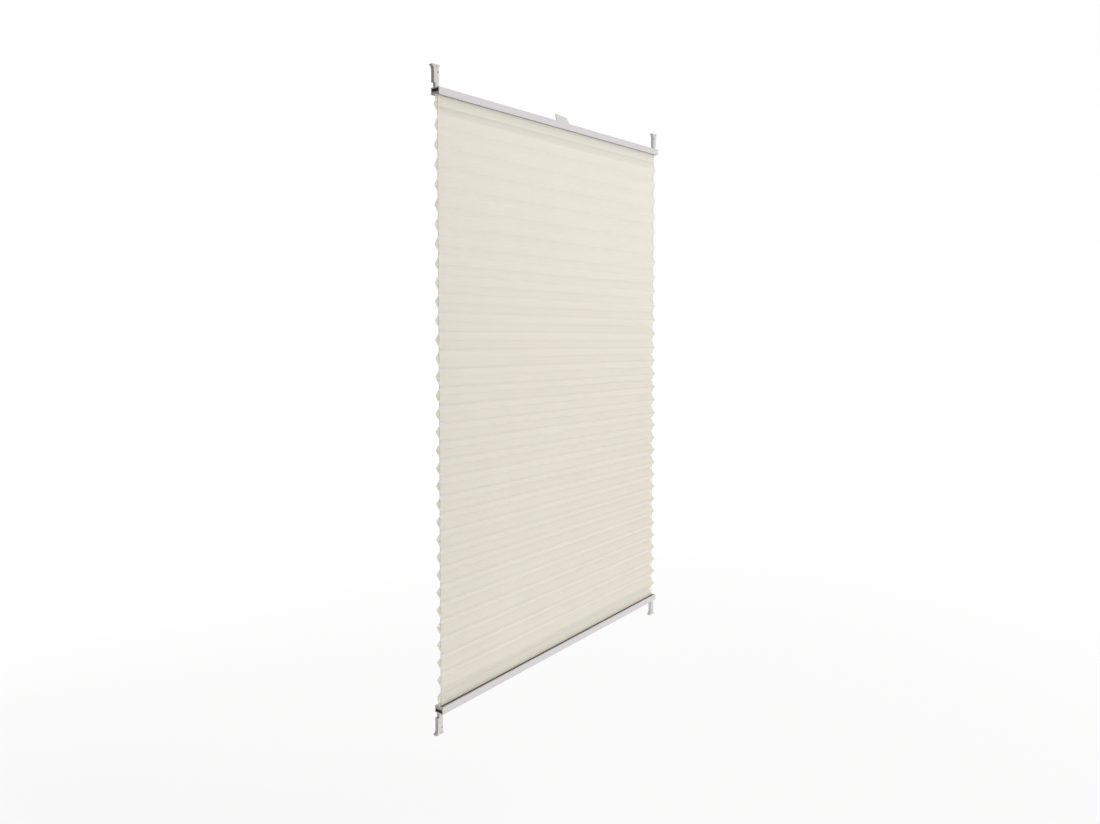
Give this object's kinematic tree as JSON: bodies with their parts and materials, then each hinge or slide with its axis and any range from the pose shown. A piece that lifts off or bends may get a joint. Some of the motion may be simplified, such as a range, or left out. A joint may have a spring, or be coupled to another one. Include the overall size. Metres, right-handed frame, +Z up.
{
  "type": "pleated blind",
  "caption": "Pleated blind in cream cloth between slim aluminium rails, held at top and bottom by tension cords with moulded shoes; both rails slide on the cords.",
  "frame": {"origin": "middle of the hanging blind, halfway between the heads of the upper and lower shoes", "axes": "+Z up along the tension cords, +X along the rails, the front of the blind faces -Y"},
  "size_m": [0.764, 0.02, 1.184],
  "materials": {
    "pleated_cloth": "woven crepe polyester, pleated, matt",
    "rail_paint": "powder coated extrusion, satin cool grey",
    "moulded_grey": "moulded plastic, light warm grey, satin",
    "dark_strip": "extruded dark grey plastic strip, plain",
    "cord": "braided polyester cord",
    "eyelet_plastic": "slippery moulded plastic",
    "steel": "bright drawn steel"
  },
  "bodies": {
    "hangers": {"pleated_fabric": "pleated_cloth", "left_guide_cord": "cord", "right_guide_cord": "cord", "top_left_tension_shoe": "moulded_grey", "top_right_tension_shoe": "moulded_grey", "bottom_left_tension_shoe": "moulded_grey", "bottom_right_tension_shoe": "moulded_grey"},
    "upper_rail": {"top_rail": "rail_paint", "grip": "moulded_grey", "top_fabric_strip": "dark_strip", "front_spring": "steel", "back_spring": "steel", "top_front_cord_left": "cord", "top_front_cord_right": "cord", "top_back_cord_left": "cord", "top_back_cord_right": "cord", "top_left_end_cap": "moulded_grey", "top_left_guide_pin": "steel", "top_left_cord_eyelet": "eyelet_plastic", "top_right_end_cap": "moulded_grey", "top_right_guide_pin": "steel", "top_right_cord_eyelet": "eyelet_plastic"},
    "lower_rail": {"bottom_rail": "rail_paint", "bottom_fabric_strip": "dark_strip", "bottom_front_cord": "cord", "bottom_back_cord": "cord", "bottom_left_end_cap": "moulded_grey", "bottom_left_guide_pin": "steel", "bottom_left_cord_eyelet": "eyelet_plastic", "bottom_right_end_cap": "moulded_grey", "bottom_right_guide_pin": "steel", "bottom_right_cord_eyelet": "eyelet_plastic"}
  },
  "joints": [
    {"name": "top_rail_slide", "type": "slide", "parent": "hangers", "child": "upper_rail", "axis": [0, 0, 1], "range_m": [-0.52, 0], "deforming": ["pleated_fabric"]},
    {"name": "bottom_rail_slide", "type": "slide", "parent": "hangers", "child": "lower_rail", "axis": [0, 0, 1], "range_m": [0, 0.52], "deforming": ["pleated_fabric"]}
  ]
}
